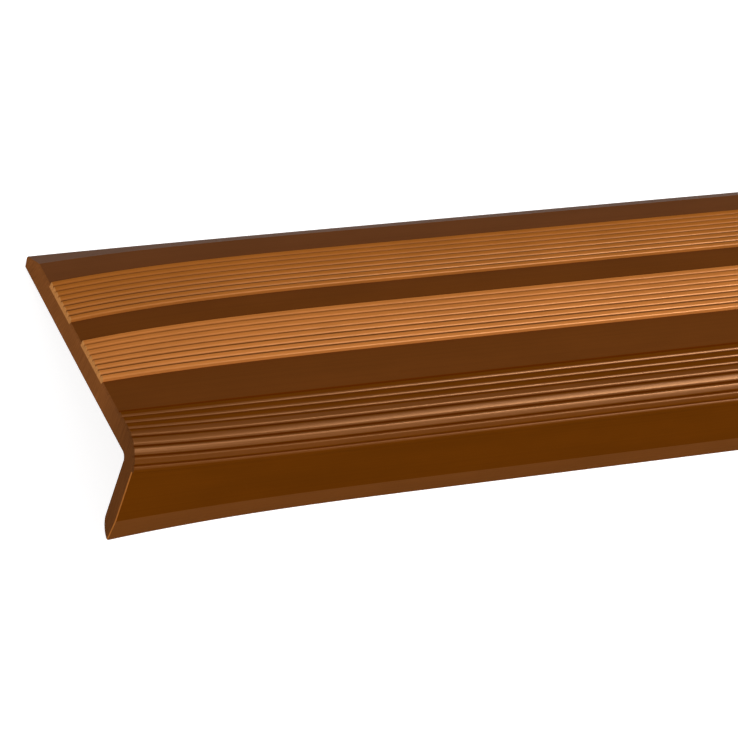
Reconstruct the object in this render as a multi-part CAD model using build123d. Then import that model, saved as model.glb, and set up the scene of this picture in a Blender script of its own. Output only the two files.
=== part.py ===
from build123d import *
import os
from math import atan2, cos, degrees, radians, sin, sqrt

# Anti-slip stair nosing: one length of extruded soft PVC with a single section.
# The tread lies on the step, the rounded nose covers its edge and the leg hangs down the riser.
# Lengths are in millimetres and angles in degrees.

# Stock length
LENGTH = 600.0

# Tread, measured along its slightly crowned top from the rear edge to the nose
TREAD_THICKNESS = 4.0
CROWN_RADIUS = 150.0
REAR_FACE_HEIGHT = 1.9
REAR_BEVEL_RUN = 4.8
REAR_FLAT = 5.4
MIDDLE_FLAT = 5.3
FRONT_FLAT = 7.5

# Ribbed bands on the tread, which stand a little above its flats
BAND_RIBS = 8
BAND_PITCH = 1.25
BAND_RISE = 0.6
BAND_GROOVE_WIDTH = 0.42
BAND_GROOVE_DEPTH = 0.6
BAND_EDGE_SETBACK = 0.22

# Rounded nose, and the lower ribs that go round it
NOSE_RADIUS = 3.9
NOSE_RIBS = 8
NOSE_PITCH = 1.38
NOSE_RISE = 0.3
NOSE_GROOVE_WIDTH = 0.45
NOSE_GROOVE_DEPTH = 0.3
NOSE_EDGE_SETBACK = 0.22

# Leg, which leans back under the tread and tapers to its toe
LEG_LEAN = 18.0
LEG_LENGTH = 10.5
LEG_THICKNESS = 3.2
TOE_BEVEL_LENGTH = 4.8
TOE_BEVEL_ANGLE = 7.0
TOE_CURVE_LENGTH = 2.8
INSIDE_ROUND = 0.7

# Runs along the top of the section, counted from the rear edge
BAND_WIDTH = BAND_RIBS * BAND_PITCH - BAND_GROOVE_WIDTH
REAR_BAND_START = REAR_BEVEL_RUN + REAR_FLAT
REAR_BAND_END = REAR_BAND_START + BAND_WIDTH
FRONT_BAND_START = REAR_BAND_END + MIDDLE_FLAT
FRONT_BAND_END = FRONT_BAND_START + BAND_WIDTH
NOSE_RIBS_START = FRONT_BAND_END + FRONT_FLAT
NOSE_RIBS_END = NOSE_RIBS_START + NOSE_RIBS * NOSE_PITCH - NOSE_GROOVE_WIDTH

# The round of the nose starts where its whole turn ends at the last rib, and the crown is even on the tread
LEG_TURN = radians(90 + LEG_LEAN)
TREAD_RUN = (NOSE_RIBS_END - NOSE_RADIUS * LEG_TURN) / (1 - NOSE_RADIUS / (2 * CROWN_RADIUS))
HALF_CROWN = TREAD_RUN / (2 * CROWN_RADIUS)


def polar(length, heading):
    """Step of a given length, for a heading in radians above level and towards the front, which is -Y."""
    return Vector(-length * cos(heading), length * sin(heading))


def outward(heading):
    """Unit step at right angles to a heading, out of the section's top."""
    return polar(1, heading + radians(90))


NOSE_CENTRE = outward(-HALF_CROWN) * (CROWN_RADIUS - NOSE_RADIUS)


def skin(run, height):
    """Point at a run along the section's top, over the crown and round the nose, and a height above it."""
    if run <= TREAD_RUN:
        return outward(HALF_CROWN - run / CROWN_RADIUS) * (CROWN_RADIUS + height)
    heading = -HALF_CROWN - (run - TREAD_RUN) / NOSE_RADIUS
    return NOSE_CENTRE + outward(heading) * (NOSE_RADIUS + height)


def top_edge(start, end, height):
    """Stretch of the section's top that follows its curve."""
    return ThreePointArc(skin(start, height), skin((start + end) / 2, height), skin(end, height))


def rib_back(foot, start, height, setback):
    """Back of a rib, from the foot behind it up to its rounded top edge."""
    corner = skin(start, height)
    wall_top = corner + (foot - corner).normalized() * setback
    return [Line(foot, wall_top), TangentArc(wall_top, skin(start + setback, height), tangent=corner - foot)]


def rib_front(foot, end, height, setback):
    """Front of a rib, from its rounded top edge down to the foot in front of it."""
    corner = skin(end, height)
    wall_top = corner + (foot - corner).normalized() * setback
    top_end = skin(end - setback, height)
    return [TangentArc(top_end, wall_top, tangent=corner - top_end), Line(wall_top, foot)]


def rib_edges(start, count, pitch, groove_width, groove_depth, rise, setback):
    """Row of ribs that stand up from the section's top, with a V groove between neighbours."""
    edges = []
    back_foot = skin(start, 0)
    for index in range(count):
        rib_start = start + index * pitch
        rib_end = rib_start + pitch - groove_width
        groove = skin(rib_end + groove_width / 2, rise - groove_depth)
        last = index == count - 1
        front_foot = skin(rib_end, 0) if last else groove
        edges += rib_back(back_foot, rib_start, rise, setback)
        edges.append(top_edge(rib_start + setback, rib_end - setback, rise))
        edges += rib_front(front_foot, rib_end, rise, setback)
        back_foot = front_foot
    return edges


BAND_RIB = (BAND_RIBS, BAND_PITCH, BAND_GROOVE_WIDTH, BAND_GROOVE_DEPTH, BAND_RISE, BAND_EDGE_SETBACK)
NOSE_RIB = (NOSE_RIBS, NOSE_PITCH, NOSE_GROOVE_WIDTH, NOSE_GROOVE_DEPTH, NOSE_RISE, NOSE_EDGE_SETBACK)

# Rear edge of the tread
rear_bottom = skin(0, -TREAD_THICKNESS)
rear_top = skin(0, REAR_FACE_HEIGHT - TREAD_THICKNESS)
bevel_top = skin(REAR_BEVEL_RUN, 0)

# Outer side of the leg, then its bevel down to the toe
leg_heading = -LEG_TURN
leg_top = skin(NOSE_RIBS_END, 0)
bevel_start = leg_top + polar(LEG_LENGTH, leg_heading)
toe = bevel_start + polar(TOE_BEVEL_LENGTH, leg_heading - radians(TOE_BEVEL_ANGLE))

# Inner side of the leg, one thickness behind the outer side, up to the underside of the tread
inner_line_point = leg_top - outward(leg_heading) * LEG_THICKNESS
leg_down = polar(1, leg_heading)
toe_run = (toe - inner_line_point).dot(leg_down)
toe_curve_top = inner_line_point + leg_down * (toe_run - TOE_CURVE_LENGTH)
underside_radius = CROWN_RADIUS - TREAD_THICKNESS
nearest_run = -inner_line_point.dot(leg_down)
nearest = inner_line_point + leg_down * nearest_run
inside_corner = nearest - leg_down * sqrt(underside_radius**2 - nearest.length**2)
underside_middle = (rear_bottom + inside_corner).normalized() * underside_radius

outline = [
    Line(rear_bottom, rear_top),
    Line(rear_top, bevel_top),
    top_edge(REAR_BEVEL_RUN, REAR_BAND_START, 0),
    *rib_edges(REAR_BAND_START, *BAND_RIB),
    top_edge(REAR_BAND_END, FRONT_BAND_START, 0),
    *rib_edges(FRONT_BAND_START, *BAND_RIB),
    top_edge(FRONT_BAND_END, NOSE_RIBS_START, 0),
    *rib_edges(NOSE_RIBS_START, *NOSE_RIB),
    Line(leg_top, bevel_start),
    Line(bevel_start, toe),
    TangentArc(toe_curve_top, toe, tangent=leg_down),
    Line(inside_corner, toe_curve_top),
    ThreePointArc(rear_bottom, underside_middle, inside_corner),
]
section = make_face(outline)
section = fillet(section.vertices().sort_by_distance(inside_corner)[0], INSIDE_ROUND)

# The free strip stands on its rear edge and its toe, with the nose up, centred over the floor
stance = toe - rear_bottom
floor_tilt = degrees(atan2(stance.Y, -stance.X))
strip = extrude(Plane.YZ * section, LENGTH / 2, both=True)
strip = Rot(X=floor_tilt) * strip
box = strip.bounding_box()
strip = Pos(0, -box.center().Y, -box.min.Z) * strip

os.makedirs("parts", exist_ok=True)
export_step(strip, "parts/nosing_strip.step")
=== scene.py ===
# %% [markdown]
# # An anti-slip stair nosing
# This strip covers the front edge of a stair step. It is taken to be soft PVC, pushed hot through a die
# and sawn to length, so its whole shape is one section: a tread with two ribbed bands, a ribbed round
# nose and a leg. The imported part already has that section, and it is the fixed frame that everything
# here is built around.

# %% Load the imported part
from math import atan2, copysign, cos, pi, radians, sin, sqrt

import bpy
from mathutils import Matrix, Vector


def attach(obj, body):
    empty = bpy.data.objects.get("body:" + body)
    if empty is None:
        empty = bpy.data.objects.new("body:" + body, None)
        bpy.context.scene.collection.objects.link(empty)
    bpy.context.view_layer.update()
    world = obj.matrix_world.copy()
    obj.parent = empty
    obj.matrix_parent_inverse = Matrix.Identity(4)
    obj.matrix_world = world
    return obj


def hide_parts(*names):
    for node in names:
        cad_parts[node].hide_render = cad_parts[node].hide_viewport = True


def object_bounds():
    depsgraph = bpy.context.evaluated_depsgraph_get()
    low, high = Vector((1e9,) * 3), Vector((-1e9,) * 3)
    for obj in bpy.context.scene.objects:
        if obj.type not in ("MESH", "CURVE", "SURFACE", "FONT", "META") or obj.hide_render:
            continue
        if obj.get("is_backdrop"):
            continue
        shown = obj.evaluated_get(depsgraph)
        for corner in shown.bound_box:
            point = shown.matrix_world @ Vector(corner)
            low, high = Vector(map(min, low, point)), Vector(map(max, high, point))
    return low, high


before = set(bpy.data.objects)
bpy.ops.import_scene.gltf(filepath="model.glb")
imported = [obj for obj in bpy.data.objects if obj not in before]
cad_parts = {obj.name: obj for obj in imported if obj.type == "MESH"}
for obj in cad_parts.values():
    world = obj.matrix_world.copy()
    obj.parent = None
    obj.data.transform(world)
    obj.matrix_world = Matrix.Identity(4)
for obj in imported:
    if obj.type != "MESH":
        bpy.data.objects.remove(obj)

MM = 0.001
cad_low, cad_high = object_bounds()
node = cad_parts["nosing_strip"]
print("box of the part in mm:", [round(side / MM, 2) for side in cad_high - cad_low])

# %% [markdown]
# ## Reading the section
# The tread is an arc about a far centre, and the nose is an arc about a near one. With those two centres
# known, any point of the section can be told by its run along the tread and its height above it. That
# serves the shape of the sawn end and the colours alike. The rear edge is measured on the part, the
# nose's centre is read off its section, and the far centre follows from both.

# %% Find the rear edge and the two centres
TREAD_THICKNESS = 4.0 * MM
CROWN_RADIUS = 150.0 * MM
NOSE_RADIUS = 3.9 * MM
FLOOR_TOLERANCE = 0.02 * MM

on_floor = [point.co for point in node.data.vertices if point.co.z < FLOOR_TOLERANCE]
rear_edge = Vector((max(place.y for place in on_floor), 0))
nose_centre = Vector((-19.324, 15.157)) * MM
chord = nose_centre - rear_edge
span = chord.length
along = chord / span
above = Vector((along.y, -along.x))

rear_arm = CROWN_RADIUS - TREAD_THICKNESS
nose_arm = CROWN_RADIUS - NOSE_RADIUS
foot = (rear_arm**2 - nose_arm**2 + span**2) / (2 * span)
crown_centre = rear_edge + along * foot - above * sqrt(rear_arm**2 - foot**2)
rear_angle = atan2(rear_edge.y - crown_centre.y, rear_edge.x - crown_centre.x)
print("nose centre in mm:", [round(side / MM, 2) for side in nose_centre])
print("crown centre in mm:", [round(side / MM, 2) for side in crown_centre])

# %% Find the two ribbed bands
BAND_STEP = 0.5 * MM


def run_and_height(place):
    """Run from the rear edge along the tread, and height above its flats, of a point of the strip."""
    arm = Vector((place.y, place.z)) - crown_centre
    return (atan2(arm.y, arm.x) - rear_angle) * CROWN_RADIUS, arm.length - CROWN_RADIUS


tread_end = run_and_height(Vector((0, nose_centre.x, nose_centre.y)))[0]
readings = [run_and_height(point.co) for point in node.data.vertices]
raised = sorted(run for run, height in readings if height > BAND_STEP and run < tread_end)
split = max(range(1, len(raised)), key=lambda index: raised[index] - raised[index - 1])
bands = [(raised[0], raised[split - 1]), (raised[split], raised[-1])]
print("bands run in mm:", [[round(run / MM, 2) for run in band] for band in bands])

# %% [markdown]
# ## The strip
# A copy of the part's mesh is the blank. It comes as loose triangles, so the points are merged and flat
# neighbours dissolved, which leaves one long face for each line of the section and one face on each end.
# A hand-drawn section could be extruded instead, but it would only repeat the part.

# %% Copy the blank and merge it
MERGE_DISTANCE = 0.002 * MM
FLAT_ANGLE = radians(0.1)

bpy.ops.object.select_all(action="DESELECT")
strip = bpy.data.objects.new("stair_nosing", node.data.copy())
bpy.context.scene.collection.objects.link(strip)
bpy.context.view_layer.objects.active = strip
strip.select_set(True)
strip.data.materials.clear()

bpy.ops.object.mode_set(mode="EDIT")
bpy.ops.mesh.select_all(action="SELECT")
bpy.ops.mesh.customdata_custom_splitnormals_clear()
bpy.ops.mesh.remove_doubles(threshold=MERGE_DISTANCE)
bpy.ops.mesh.dissolve_limited(angle_limit=FLAT_ANGLE)
bpy.ops.object.mode_set(mode="OBJECT")
print("blank:", len(strip.data.vertices), "points,", len(strip.data.polygons), "faces")

# %% [markdown]
# ## The sawn ends
# A saw leaves the edge of each end a little broken, and that thin edge catches the light. A bevel would
# stumble over the narrow grooves, so each end face gets an inset that stands proud by as much as it is
# narrower, and then all points go back along the strip by that step: the inset ends up where the end
# was, with a slope round it. Near the end on show the strip also needs rings of points, because that
# end will be bent in the next step, and a face with no points between its ends can't bend.

# %% Break the sawn edges
SAWN_EDGE = 0.18 * MM
SQUARE_TO_STRIP = 0.99


def select_ends(least_along):
    """Leaves selected only the faces whose normals run along the strip by at least the given share."""
    bpy.ops.mesh.select_mode(type="FACE")
    bpy.ops.mesh.select_all(action="DESELECT")
    bpy.ops.object.mode_set(mode="OBJECT")
    for face in strip.data.polygons:
        face.select = abs(face.normal.x) > least_along
    bpy.ops.object.mode_set(mode="EDIT")


bpy.ops.object.mode_set(mode="EDIT")
select_ends(SQUARE_TO_STRIP)
bpy.ops.mesh.inset(thickness=SAWN_EDGE, depth=SAWN_EDGE)
bpy.ops.object.mode_set(mode="OBJECT")
for point in strip.data.vertices:
    point.co.x -= copysign(SAWN_EDGE, point.co.x)
print("with broken edges:", len(strip.data.polygons), "faces")

# %% Cut rings near the end on show
RING_COUNT = 30
RING_REACH = 120.0 * MM
RING_GATHER = 1.5

bpy.ops.object.mode_set(mode="EDIT")
for index in range(1, RING_COUNT + 1):
    ring_x = cad_low.x + SAWN_EDGE + RING_REACH * (index / RING_COUNT) ** RING_GATHER
    bpy.ops.mesh.select_all(action="SELECT")
    bpy.ops.mesh.bisect(plane_co=(ring_x, 0, 0), plane_no=(1, 0, 0))
bpy.ops.object.mode_set(mode="OBJECT")
print("with rings:", len(strip.data.vertices), "points,", len(strip.data.polygons), "faces")

# %% [markdown]
# ## The end springs open
# In the picture the section changes near the sawn end: the crown of the tread sinks a little and carries
# the leg forward with it, while the corner under the nose closes a bit. Strain left from cooling can do
# that where an extruded strip is cut. It is a bend that fades along the strip, so each point is moved by
# a formula: the tread sinks most at its middle and turns with its slope, and the nose and leg turn about
# the nose's centre. The cut is also a little out of square, which is a small slant of the last few
# millimetres. The straight place of each point is kept first as an attribute, because the colours follow
# the material and not the bend.

# %% Keep the straight place of every point
bpy.ops.geometry.attribute_add(name="straight_place", data_type="FLOAT_VECTOR", domain="POINT")
for point, kept in zip(strip.data.vertices, strip.data.attributes["straight_place"].data):
    kept.vector = point.co
print("kept", len(strip.data.vertices), "straight places")

# %% Bend the end on show
CROWN_DROP = 1.95 * MM
CROWN_REACH = 53.0 * MM
CORNER_CLOSE = radians(2.3)
CORNER_REACH = 42.0 * MM
FADE_POWER = 3.5
SAW_SLANT = 0.045
SAW_LEVEL = 6.0 * MM
SAW_REACH = 10.0 * MM


def fade(distance, reach):
    """Falls from one at the sawn end to nothing at the reach, with no kink there."""
    return max(0, 1 - distance / reach) ** FADE_POWER


def sprung(place):
    """Place of a point of the straight strip after its end has sprung open."""
    from_end = place.x - cad_low.x
    offset = Vector((place.y, place.z)) - rear_edge
    run = offset.dot(along)
    lift = offset.dot(above)
    share = min(max((run + max(-lift, 0)) / span, 0), 1)
    drop = CROWN_DROP * fade(from_end, CROWN_REACH)
    turn = 4 * drop * (2 * share - 1) / span
    below = min(max(-lift / NOSE_RADIUS, 0), 1)
    if share == 1:
        turn -= CORNER_CLOSE * fade(from_end, CORNER_REACH) * below**2 * (3 - 2 * below)
    past = run - share * span
    run = share * span + past * cos(turn) - lift * sin(turn)
    lift = past * sin(turn) + lift * cos(turn) - 4 * drop * share * (1 - share)
    slant = SAW_SLANT * (place.z - SAW_LEVEL) * max(0, 1 - from_end / SAW_REACH)
    return Vector((place.x + slant, *(rear_edge + along * run + above * lift)))


moved = 0
for point in strip.data.vertices:
    place = sprung(point.co)
    moved = max(moved, (place - point.co).length)
    point.co = place
print("furthest move in mm:", round(moved / MM, 2))

# %% [markdown]
# ## Smooth arcs and crisp corners
# The arcs of the section are many narrow faces, which smooth shading turns into one curve. Two shallow
# corners would be smoothed away with them: the rear bevel's and the one where the leg's bevel starts. So
# their edges are looked up by their straight place and marked sharp.

# %% Smooth the arcs
SMOOTH_ANGLE = radians(28)

bpy.ops.object.mode_set(mode="EDIT")
bpy.ops.mesh.select_all(action="SELECT")
bpy.ops.mesh.normals_make_consistent(inside=False)
bpy.ops.object.mode_set(mode="OBJECT")
bpy.ops.object.shade_smooth_by_angle(angle=SMOOTH_ANGLE)
print("smooth faces:", sum(face.use_smooth for face in strip.data.polygons))

# %% Keep two corners sharp
REAR_BEVEL_RUN = 4.8 * MM
LEG_HEIGHT = 10.0 * MM
ON_CORNER = 0.02 * MM

bpy.ops.object.mode_set(mode="EDIT")
bpy.ops.mesh.select_mode(type="EDGE")
bpy.ops.mesh.select_all(action="DESELECT")
bpy.ops.object.mode_set(mode="OBJECT")
places = [kept.vector for kept in strip.data.attributes["straight_place"].data]
readings = [run_and_height(place) for place in places]
at_rear = [abs(run - REAR_BEVEL_RUN) < ON_CORNER and height > -ON_CORNER for run, height in readings]
at_leg = [place.y < cad_low.y + ON_CORNER and place.z < LEG_HEIGHT for place in places]
for edge in strip.data.edges:
    edge.select = any(all(corner[index] for index in edge.vertices) for corner in (at_rear, at_leg))
bpy.ops.object.mode_set(mode="EDIT")
bpy.ops.mesh.mark_sharp()
bpy.ops.object.mode_set(mode="OBJECT")
print("edges kept sharp:", sum(edge.select for edge in strip.data.edges))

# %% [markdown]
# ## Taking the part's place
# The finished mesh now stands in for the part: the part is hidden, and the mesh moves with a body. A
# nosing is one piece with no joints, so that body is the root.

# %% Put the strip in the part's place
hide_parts("nosing_strip")
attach(strip, "root")
print("triangles:", sum(len(face.vertices) - 2 for face in strip.data.polygons))

# %% [markdown]
# ## Helpers for nodes
# A finish is a graph of nodes. A few small helpers keep its code short: one fills a socket, one adds a
# node and fills its sockets, and the rest do that for the nodes that come up most. A socket takes a
# number or a colour, or the output of another node. A Mix node has sockets for values and for colours
# under the same names, so they are told by number.


# %% Helpers for nodes
def put(tree, socket, value):
    """Gives a socket a fixed value, or links an output to it."""
    if isinstance(value, bpy.types.NodeSocket):
        tree.links.new(value, socket)
    else:
        socket.default_value = value


def add(tree, kind, inputs=None, **settings):
    """Adds a node with its settings, and fills the sockets named or numbered in inputs."""
    made = tree.nodes.new(kind)
    for name, value in settings.items():
        setattr(made, name, value)
    for name, value in (inputs or {}).items():
        put(tree, made.inputs[name], value)
    return made


def math(tree, operation, first, second=0.0):
    """Output of a Math node on two values."""
    return add(tree, "ShaderNodeMath", {0: first, 1: second}, operation=operation).outputs[0]


def ramp(tree, value, low, high, to_low=0.0, to_high=1.0):
    """Output of a smooth step from to_low to to_high as the value goes from low to high."""
    sockets = {"Value": value, "From Min": low, "From Max": high, "To Min": to_low, "To Max": to_high}
    return add(tree, "ShaderNodeMapRange", sockets, interpolation_type="SMOOTHSTEP").outputs[0]


def mix_colours(tree, factor, first, second, blend="MIX"):
    """Output of a Mix node on two colours."""
    sockets = {0: factor, 6: first, 7: second}
    return add(tree, "ShaderNodeMix", sockets, data_type="RGBA", blend_type=blend).outputs[2]


def mix_values(tree, factor, first, second):
    """Output of a Mix node on two values."""
    return add(tree, "ShaderNodeMix", {0: factor, 2: first, 3: second}).outputs[0]


def new_group(name, *titles):
    """Empty shader node group that puts out values with the given titles, and its output node."""
    group = bpy.data.node_groups.new(name, "ShaderNodeTree")
    for title in titles:
        group.interface.new_socket(title, in_out="OUTPUT", socket_type="NodeSocketFloat")
    return group, group.nodes.new("NodeGroupOutput")


# %% [markdown]
# ## Where a spot lies in the section
# Most of what colours this strip follows its section: bands, grooves, bevels. So one group works out,
# from the straight place of a spot, its run along the tread and its height above the skin line, which
# is the crown on the tread and the round of the nose in front of it. It passes on the plain coordinates
# too. Everything later only has to ask for these numbers, which is easier to read than a mask painted
# by hand.

# %% Group for run and height
titles = ("Run", "Height", "Along", "Across", "Level")
section, section_out = new_group("section_place", *titles)
straight = add(section, "ShaderNodeAttribute", attribute_name="straight_place").outputs["Vector"]
axes = add(section, "ShaderNodeSeparateXYZ", {0: straight}).outputs


def reach_from(centre):
    """Offsets of the spot from a centre in the section, and its distance from it."""
    across = math(section, "SUBTRACT", axes["Y"], centre.x)
    level = math(section, "SUBTRACT", axes["Z"], centre.y)
    flat = add(section, "ShaderNodeCombineXYZ", {"Y": across, "Z": level}).outputs[0]
    distance = add(section, "ShaderNodeVectorMath", {0: flat}, operation="LENGTH").outputs["Value"]
    return across, level, distance


across, level, arm = reach_from(crown_centre)
angle = math(section, "ARCTAN2", level, across)
run = math(section, "MULTIPLY", math(section, "SUBTRACT", angle, rear_angle), CROWN_RADIUS)
past_tread = math(section, "GREATER_THAN", run, tread_end)
above_crown = math(section, "SUBTRACT", arm, CROWN_RADIUS)
above_nose = math(section, "SUBTRACT", reach_from(nose_centre)[2], NOSE_RADIUS)
height = mix_values(section, past_tread, above_crown, above_nose)
for title, value in zip(titles, (run, height, *axes)):
    put(section, section_out.inputs[title], value)
print("tread ends at a run of", round(tread_end / MM, 2), "mm")

# %% [markdown]
# ## The two colours
# The raised bands are taken to be a lighter compound fed into the same die, so the light colour is a
# layer in the section: it fills the ribs and goes a little way under them, as the sawn end shows. Painted
# faces could only colour the outside. A mask worked out from run and height colours the ribs and the
# sawn end alike. The mask for the outside also leaves the foot of each groove brown, which is painted
# shade, and that painted shade grows from the rear of each band to its front, so the ribs stand out more
# crisply there.

# %% Group for the lighter layer
LAYER_DEPTH = 0.35 * MM
LAYER_BLUR = 0.06 * MM
LAYER_MARGIN = 0.05 * MM
GROOVE_SHADE_HEIGHTS = (0.30 * MM, 0.56 * MM)
GROOVE_SHADE_AT_REAR = 0.55

layer, layer_out = new_group("light_layer", "Section", "Shaded Outside", "Crisp")
where = add(layer, "ShaderNodeGroup", node_tree=section).outputs
in_layer = ramp(layer, where["Height"], -LAYER_DEPTH - LAYER_BLUR, -LAYER_DEPTH + LAYER_BLUR)
inside = grooved = crisp = 0.0
for start, end in bands:
    from_middle = math(layer, "ABSOLUTE", math(layer, "SUBTRACT", where["Run"], (start + end) / 2))
    half = (end - start) / 2 + LAYER_MARGIN
    here = ramp(layer, from_middle, half, half + LAYER_BLUR, 1.0, 0.0)
    inside = math(layer, "ADD", here, inside)
    between_walls = ramp(layer, from_middle, half - 2 * LAYER_MARGIN, half - LAYER_MARGIN, 1.0, 0.0)
    grooved = math(layer, "ADD", between_walls, grooved)
    crisp_here = math(layer, "MULTIPLY", here, ramp(layer, where["Run"], start, end))
    crisp = math(layer, "ADD", crisp_here, crisp)
in_section = math(layer, "MULTIPLY", inside, in_layer)
# Painted shade: the foot of each groove is left brown, more strongly towards the front of each band.
strength = math(layer, "MULTIPLY", ramp(layer, crisp, 0.0, 1.0, GROOVE_SHADE_AT_REAR, 1.0), grooved)
groove_shade = math(layer, "MULTIPLY", ramp(layer, where["Height"], *GROOVE_SHADE_HEIGHTS, 1.0, 0.0), strength)
shaded_outside = math(layer, "MULTIPLY", in_section, math(layer, "SUBTRACT", 1.0, groove_shade))
put(layer, layer_out.inputs["Section"], in_section)
put(layer, layer_out.inputs["Shaded Outside"], shaded_outside)
put(layer, layer_out.inputs["Crisp"], crisp)
print("light layer on", len(bands), "bands,", round(LAYER_DEPTH / MM, 2), "mm deep")

# %% [markdown]
# ## Marks of the die
# The lips of a die leave faint lines along an extruded strip, and the pigment is never mixed quite
# evenly. Both are noise. Stretched a long way along the strip it gives the lines, and hardly stretched
# it gives the cloudiness. A third, very fine noise is the peel of the skin. They sit in one group,
# because the skin and the sawn face share the pigment.

# %% Group for die lines and cloudiness
DIE_LINE_WIDTH = 0.22 * MM
DIE_LINE_LENGTH = 160.0 * MM
CLOUD_WIDTH = 6.0 * MM
CLOUD_LENGTH = 12.0 * MM
PEEL_SIZE = 0.35 * MM

marks, marks_out = new_group("die_marks", "Line", "Cloud", "Peel")
straight = add(marks, "ShaderNodeAttribute", attribute_name="straight_place").outputs["Vector"]


def noise_of_size(tree, place, size, detail):
    """Noise whose patches have the given size along X, Y and Z."""
    scale = tuple(1 / length for length in size)
    scaled = add(tree, "ShaderNodeVectorMath", {0: place, 1: scale}, operation="MULTIPLY").outputs[0]
    return add(tree, "ShaderNodeTexNoise", {"Vector": scaled, "Scale": 1.0, "Detail": detail}).outputs[0]


line_size = (DIE_LINE_LENGTH, DIE_LINE_WIDTH, DIE_LINE_WIDTH)
cloud_size = (CLOUD_LENGTH, CLOUD_WIDTH, CLOUD_WIDTH)
peel_size = (PEEL_SIZE, PEEL_SIZE, PEEL_SIZE)
put(marks, marks_out.inputs["Line"], noise_of_size(marks, straight, line_size, detail=2.0))
put(marks, marks_out.inputs["Cloud"], noise_of_size(marks, straight, cloud_size, detail=4.0))
put(marks, marks_out.inputs["Peel"], noise_of_size(marks, straight, peel_size, detail=1.0))
print("die lines", DIE_LINE_WIDTH / MM, "mm wide")

# %% [markdown]
# ## From masks to a finish
# Both finishes of the strip start alike: they ask the three groups about a spot, choose a colour, and
# lay the die lines and the cloudiness over it. These steps are functions, so the skin and the sawn face
# can't drift apart.

# %% Helpers for the finishes
NOISE_RANGE = (0.3, 0.7)
CLOUD_SHADE = (0.96, 1.04)
LINE_SHADE = (0.96, 1.03)


def grey_of(tree, value):
    """Colour with the same value in all three channels."""
    return add(tree, "ShaderNodeCombineColor", {0: value, 1: value, 2: value}).outputs[0]


def clouded(tree, colour, stain):
    """Colour with the die lines and the cloudiness of its pigment."""
    cloud = ramp(tree, stain["Cloud"], *NOISE_RANGE, *CLOUD_SHADE)
    line = ramp(tree, stain["Line"], *NOISE_RANGE, *LINE_SHADE)
    return mix_colours(tree, 1.0, colour, grey_of(tree, math(tree, "MULTIPLY", cloud, line)), "MULTIPLY")


def new_finish(name):
    """Material with an empty graph but for its Principled BSDF and output."""
    material = bpy.data.materials.new(name)
    material.use_nodes = True
    return material, material.node_tree, material.node_tree.nodes["Principled BSDF"]


def ask_groups(tree):
    """Outputs of the three shared groups, placed in a material."""
    return [add(tree, "ShaderNodeGroup", node_tree=group).outputs for group in (section, layer, marks)]


# %% [markdown]
# ## The colours of the skin
# The brown of the skin isn't even. A faint pale sheen on the tread, most of all on its rear bevel, is a
# painted reflection. The paler bevel of the toe is a painted reflection too, and the darker grooves of the
# nose are painted shade. Each is a mix towards another colour by a mask of run, height or level. The bands
# get their caramel last, by the mask of the lighter layer, darker at the rear and lighter at the front as
# painted shade and light.

# %% Brown with its painted sheen
BROWN = (0.111, 0.0287, 0.0012, 1)
PAINTED_SHEEN = (0.160, 0.090, 0.060, 1)
SHEEN_ON_TREAD = (0.19, 0.07)
SHEEN_ON_BEVEL = 0.50
TREAD_STRETCH = (6.0 * MM, 24.0 * MM)
NOSE_START = 41.85 * MM
NOSE_BLUR = 0.3 * MM

skin, tree, shader = new_finish("pvc_skin")
where, light, stain = ask_groups(tree)
on_tread = ramp(tree, where["Run"], NOSE_START - NOSE_BLUR, NOSE_START, 1.0, 0.0)
# Painted reflection: a pale sheen is mixed into the brown along the tread, and more on its rear bevel.
painted_sheen = math(tree, "MULTIPLY", ramp(tree, where["Run"], *TREAD_STRETCH, *SHEEN_ON_TREAD), on_tread)
bevel_blur = (REAR_BEVEL_RUN - ON_CORNER, REAR_BEVEL_RUN + ON_CORNER)
on_bevel = ramp(tree, where["Run"], *bevel_blur, SHEEN_ON_BEVEL, 0.0)
colour = mix_colours(tree, math(tree, "ADD", painted_sheen, on_bevel), BROWN, PAINTED_SHEEN)
print("brown with bloom:", len(tree.nodes), "nodes")

# %% Painted reflection on the toe and painted shade in the nose grooves
TOE_PAINTED_REFLECTION = (0.150, 0.048, 0.0095, 1)
TOE_CORNER = 4.78 * MM
GROOVE_SHADE_BROWN = (0.100, 0.018, 0.0006, 1)
LEG_TOP = 15.3 * MM
NOSE_GROOVE_HEIGHTS = (0.02 * MM, 0.18 * MM)

below_corner = math(tree, "LESS_THAN", where["Level"], TOE_CORNER)
in_front = math(tree, "LESS_THAN", where["Across"], nose_centre.x)
# Painted reflection: the bevel of the toe is mixed towards a paler brown.
colour = mix_colours(tree, math(tree, "MULTIPLY", below_corner, in_front), colour, TOE_PAINTED_REFLECTION)
above_leg = math(tree, "GREATER_THAN", where["Level"], LEG_TOP)
on_nose = math(tree, "MULTIPLY", math(tree, "SUBTRACT", 1.0, on_tread), above_leg)
# Painted shade: the low spots between the nose ribs are mixed towards a darker, redder brown, and their
# gloss is lowered.
low_on_nose = ramp(tree, where["Height"], *NOSE_GROOVE_HEIGHTS, 1.0, 0.0)
nose_groove_shade = math(tree, "MULTIPLY", low_on_nose, on_nose)
colour = mix_colours(tree, nose_groove_shade, colour, GROOVE_SHADE_BROWN)
print("with toe and grooves:", len(tree.nodes), "nodes")

# %% Caramel of the bands
CARAMEL_SHADED_REAR = (0.320, 0.101, 0.015, 1)
CARAMEL_LIT_FRONT = (0.480, 0.165, 0.036, 1)

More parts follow.
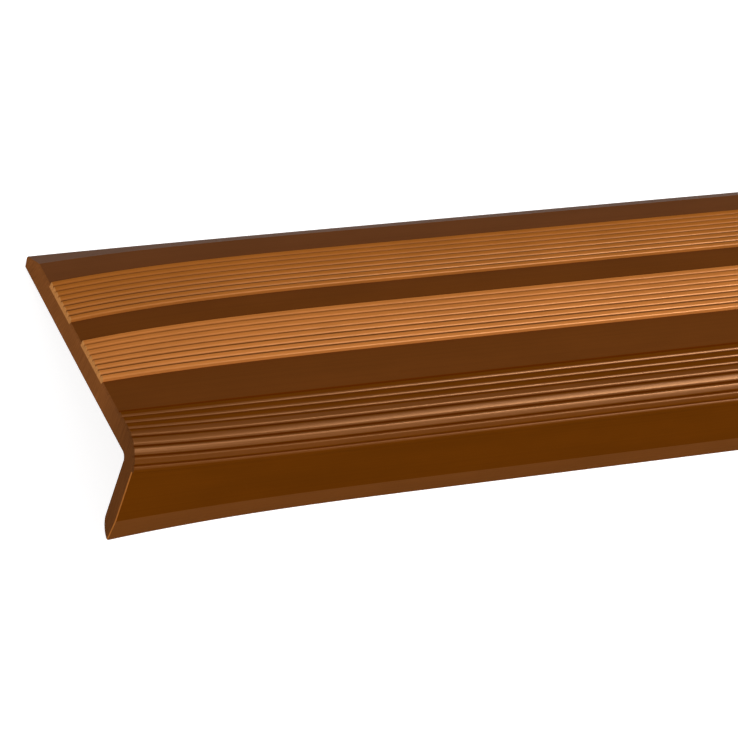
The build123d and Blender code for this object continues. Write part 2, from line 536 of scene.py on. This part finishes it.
# Painted shade and light: the caramel is darker at the rear of the bands and lighter at the front.
forward = ramp(tree, where["Run"], bands[0][0], bands[1][1])
caramel = mix_colours(tree, forward, CARAMEL_SHADED_REAR, CARAMEL_LIT_FRONT)
colour = mix_colours(tree, light["Shaded Outside"], colour, caramel)
put(tree, shader.inputs["Base Color"], clouded(tree, colour, stain))
print("with bands:", len(tree.nodes), "nodes")

# %% [markdown]
# ## The gloss of the skin
# The skin has a silky gloss: broad warm highlights where it faces the eye, and in the picture almost no
# mirror image where it is seen aslant. A plain plastic shader would lay a white haze over the brown there.
# Layer Weight tells how far a spot is turned away, and that lowers the specular level from face-on to
# aslant. The bands grow glossier towards the front, and the front of the nose is duller than its top. All
# of this is matched to the picture by measure, and no cause for it is known.

# %% Roughness and fine relief
ROUGHNESS_RANGE = (0.30, 0.40)
LINE_HEIGHT = 0.006 * MM
PEEL_SHARE = 0.2

put(tree, shader.inputs["Roughness"], ramp(tree, stain["Line"], *NOISE_RANGE, *ROUGHNESS_RANGE))
relief = math(tree, "ADD", stain["Line"], math(tree, "MULTIPLY", stain["Peel"], PEEL_SHARE))
bump = add(tree, "ShaderNodeBump", {"Strength": 1.0, "Distance": LINE_HEIGHT, "Height": relief})
put(tree, shader.inputs["Normal"], bump.outputs[0])
print("relief of", LINE_HEIGHT / MM, "mm")

# %% Gloss
SPECULAR_FACE_ON = 1.0
SPECULAR_ASLANT = 0.0003
FACING_BLEND = 0.5
FACING_RANGE = (0.12, 0.32)
GLOSS_AT_REAR = 0.15
GLOSS_FORWARD = 0.55
GLOSS_CRISP = 0.70
NOSE_FRONT = (17.2 * MM, 18.4 * MM)
GLOSS_ON_NOSE_FRONT = 0.32
HIGHLIGHT_TINT = (1.0, 0.51, 0.24, 1)

facing = add(tree, "ShaderNodeLayerWeight", {"Blend": FACING_BLEND}).outputs["Facing"]
specular = ramp(tree, facing, *FACING_RANGE, SPECULAR_FACE_ON, SPECULAR_ASLANT)
specular = math(tree, "MULTIPLY", specular, math(tree, "SUBTRACT", 1.0, nose_groove_shade))
crisp_gloss = math(tree, "MULTIPLY", light["Crisp"], GLOSS_CRISP)
forward_gloss = math(tree, "ADD", math(tree, "MULTIPLY", forward, GLOSS_FORWARD), GLOSS_AT_REAR)
band_gloss = math(tree, "ADD", crisp_gloss, forward_gloss)
front_gloss = ramp(tree, where["Level"], *NOSE_FRONT, GLOSS_ON_NOSE_FRONT, 1.0)
brown_gloss = mix_values(tree, on_tread, front_gloss, 1.0)
gloss = mix_values(tree, light["Section"], brown_gloss, band_gloss)
put(tree, shader.inputs["Specular IOR Level"], math(tree, "MULTIPLY", specular, gloss))
shader.inputs["Specular Tint"].default_value = HIGHLIGHT_TINT
strip.data.materials.append(skin)
print("skin:", len(tree.nodes), "nodes")

# %% [markdown]
# ## The sawn face
# A saw leaves the end dull, a shade paler than the skin, with fine upright scratches on it. The scratches
# are a stretched noise again, and they go to the bump and to the colour. Two more masks paint light on
# the end: it grows darker towards the nose and leg, which is painted shade, and the broken edge of the leg
# gets a painted highlight.

# %% Finish of the sawn ends
SAWN_BROWN = (0.200, 0.067, 0.0175, 1)
SAWN_CARAMEL = (0.500, 0.210, 0.060, 1)
SAWN_ROUGHNESS = 0.62
SCRATCH_WIDTH = 0.16 * MM
SCRATCH_LENGTH = 5.0 * MM
SCRATCH_SHADE = (0.85, 1.12)
SCRATCH_HEIGHT = 0.02 * MM
END_STRETCH = (-22.0 * MM, -6.0 * MM)
END_PAINTED_SHADE = (0.60, 1.0)

sawn, tree, shader = new_finish("pvc_sawn")
where, light, stain = ask_groups(tree)
colour = clouded(tree, mix_colours(tree, light["Section"], SAWN_BROWN, SAWN_CARAMEL), stain)
straight = add(tree, "ShaderNodeAttribute", attribute_name="straight_place").outputs["Vector"]
scratch_size = (SCRATCH_WIDTH, SCRATCH_WIDTH, SCRATCH_LENGTH)
scratch = noise_of_size(tree, straight, scratch_size, detail=3.0)
# Painted shade: the sawn end is darkened towards the nose and leg, on top of the real scratches.
end_painted_shade = ramp(tree, where["Across"], *END_STRETCH, *END_PAINTED_SHADE)
scratch_and_painted_shade = math(tree, "MULTIPLY", ramp(tree, scratch, *NOISE_RANGE, *SCRATCH_SHADE), end_painted_shade)
colour = mix_colours(tree, 1.0, colour, grey_of(tree, scratch_and_painted_shade), "MULTIPLY")
bump = add(tree, "ShaderNodeBump", {"Strength": 1.0, "Distance": SCRATCH_HEIGHT, "Height": scratch})
put(tree, shader.inputs["Normal"], bump.outputs[0])
shader.inputs["Roughness"].default_value = SAWN_ROUGHNESS
shader.inputs["Specular IOR Level"].default_value = SPECULAR_ASLANT
print("sawn face:", len(tree.nodes), "nodes")

# %% Painted highlight on the leg's edge
EDGE_PAINTED_HIGHLIGHT = (0.390, 0.130, 0.026, 1)
EDGE_HIGHLIGHT_SHARES = (0.5, 0.1)

highlight_range = [cad_high.x - share * SAWN_EDGE for share in EDGE_HIGHLIGHT_SHARES]
on_edge = ramp(tree, math(tree, "ABSOLUTE", where["Along"]), *highlight_range, 1.0, 0.0)
below_nose = math(tree, "LESS_THAN", where["Level"], LEG_TOP)
in_front = math(tree, "LESS_THAN", where["Across"], nose_centre.x - NOSE_RADIUS / 2)
on_leg = math(tree, "MULTIPLY", below_nose, in_front)
# Painted highlight: the broken edge of the leg is mixed towards a bright orange brown.
colour = mix_colours(tree, math(tree, "MULTIPLY", on_edge, on_leg), colour, EDGE_PAINTED_HIGHLIGHT)
put(tree, shader.inputs["Base Color"], colour)
print("with its pale edge:", len(tree.nodes), "nodes")

# %% Give the ends the sawn finish
SLOPED_TO_STRIP = 0.5
SAWN_SLOT = 1

strip.data.materials.append(sawn)
bpy.ops.object.mode_set(mode="EDIT")
select_ends(SLOPED_TO_STRIP)
strip.active_material_index = SAWN_SLOT
bpy.ops.object.material_slot_assign()
bpy.ops.object.mode_set(mode="OBJECT")
print("sawn faces:", sum(face.material_index == SAWN_SLOT for face in strip.data.polygons))

# %% [markdown]
# ## Floor and light
# A pale floor and three softboxes make the studio. A small strong one hangs over the front, and ribs that
# lean towards it show it as a bright line. A wide, weak one behind lights the tread from above, and a
# third lights the sawn end. The floor adds white of its own where the camera or a mirror sees it, which
# makes the background white and leaves the shadow.

# %% Pale floor
FLOOR_SIZE = 12.0
FLOOR_COLOUR = (0.65, 0.65, 0.65, 1)
FLOOR_WHITE = 0.75
WHITE = (1, 1, 1, 1)


def seen_directly(tree):
    """One where a ray comes from the camera or from a mirror or glass, and nothing elsewhere."""
    path = add(tree, "ShaderNodeLightPath")
    glossy = math(tree, "MAXIMUM", path.outputs["Is Camera Ray"], path.outputs["Is Glossy Ray"])
    return math(tree, "MAXIMUM", glossy, path.outputs["Is Transmission Ray"])


bpy.ops.object.select_all(action="DESELECT")
bpy.ops.mesh.primitive_plane_add(size=FLOOR_SIZE, location=(0, 0, 0))
floor = bpy.context.active_object
floor.name = "floor"
floor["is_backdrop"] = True
paper, tree, shader = new_finish("pale_floor")
shader.inputs["Base Color"].default_value = FLOOR_COLOUR
shader.inputs["Roughness"].default_value = 1.0
shader.inputs["Specular IOR Level"].default_value = 0.0
shader.inputs["Emission Color"].default_value = WHITE
put(tree, shader.inputs["Emission Strength"], math(tree, "MULTIPLY", seen_directly(tree), FLOOR_WHITE))
floor.data.materials.append(paper)
print("floor", FLOOR_SIZE, "m wide")


# %% Softboxes
def softbox(name, place, aim, length, width, radiance):
    """Rectangular soft light of an even brightness, hung at a place and turned to look at another."""
    bpy.ops.object.light_add(type="AREA", location=place)
    lamp = bpy.context.active_object
    lamp.name = name
    lamp.rotation_euler = (Vector(aim) - Vector(place)).to_track_quat("-Z", "Y").to_euler()
    lamp.data.shape = "RECTANGLE"
    lamp.data.size = length
    lamp.data.size_y = width
    lamp.data.energy = radiance * pi * length * width
    lamp.visible_camera = False
    print(name, round(lamp.data.energy, 2), "W")


softbox("front_softbox", place=(0.21, -0.31, 0.60), aim=(-0.18, -0.02, 0),
        length=0.34, width=0.24, radiance=22.0)
softbox("top_softbox", place=(-0.35, 0.42, 0.90), aim=(-0.15, 0, 0),
        length=1.40, width=0.90, radiance=0.35)
softbox("end_softbox", place=(-1.10, -0.25, 0.45), aim=(-0.30, 0, 0),
        length=0.70, width=0.70, radiance=2.2)

# %% [markdown]
# ## Surroundings
# The surroundings are white near the horizon, like a paper sweep, and dim overhead. The nose mirrors the
# dim part, so its highlights stand out.

# %% Surrounding light
HORIZON_STRENGTH = 1.0
OVERHEAD_STRENGTH = 0.15
SWEEP_HEIGHTS = (0.25, 0.55)

world = bpy.data.worlds.new("studio")
bpy.context.scene.world = world
world.use_nodes = True
tree = world.node_tree
tree.nodes.clear()
direction = add(tree, "ShaderNodeTexCoord").outputs["Generated"]
upward = add(tree, "ShaderNodeSeparateXYZ", {0: direction}).outputs["Z"]
strength = ramp(tree, upward, *SWEEP_HEIGHTS, HORIZON_STRENGTH, OVERHEAD_STRENGTH)
sky = add(tree, "ShaderNodeBackground", {"Color": WHITE, "Strength": strength})
add(tree, "ShaderNodeOutputWorld", {"Surface": sky.outputs[0]})
print("surroundings from", HORIZON_STRENGTH, "to", OVERHEAD_STRENGTH)

# %% [markdown]
# ## Camera
# A long lens looks down on the end of the strip from the front left, rolled so that the strip climbs
# across the frame. Its place was found by matching the lines of the ribs with those of the picture.

# %% Camera
CAMERA_PLACE = (-0.43653, -0.22206, 0.37328)
CAMERA_TURN = (34.406, -16.272, -17.666)
CAMERA_LENS = 151.95
SENSOR_WIDTH = 36.0
NEAREST_VIEW = 0.01

bpy.ops.object.camera_add(location=CAMERA_PLACE, rotation=[radians(turn) for turn in CAMERA_TURN])
camera = bpy.context.active_object
camera.data.lens = CAMERA_LENS
camera.data.sensor_width = SENSOR_WIDTH
camera.data.clip_start = NEAREST_VIEW
bpy.context.scene.camera = camera
bpy.context.scene.view_settings.view_transform = "Standard"
print("camera", CAMERA_LENS, "mm lens")

# %% [markdown]
# ## Size
# The dressed strip has to keep the size of the part, and its sprung end reaches a little past the part's
# box. So how much the box grew is printed.

# %% Print how much the box grew
new_low, new_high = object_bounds()
sides = zip(cad_high - cad_low, new_high - new_low)
print("grown by mm:", [round((new - old) / MM, 3) for old, new in sides])
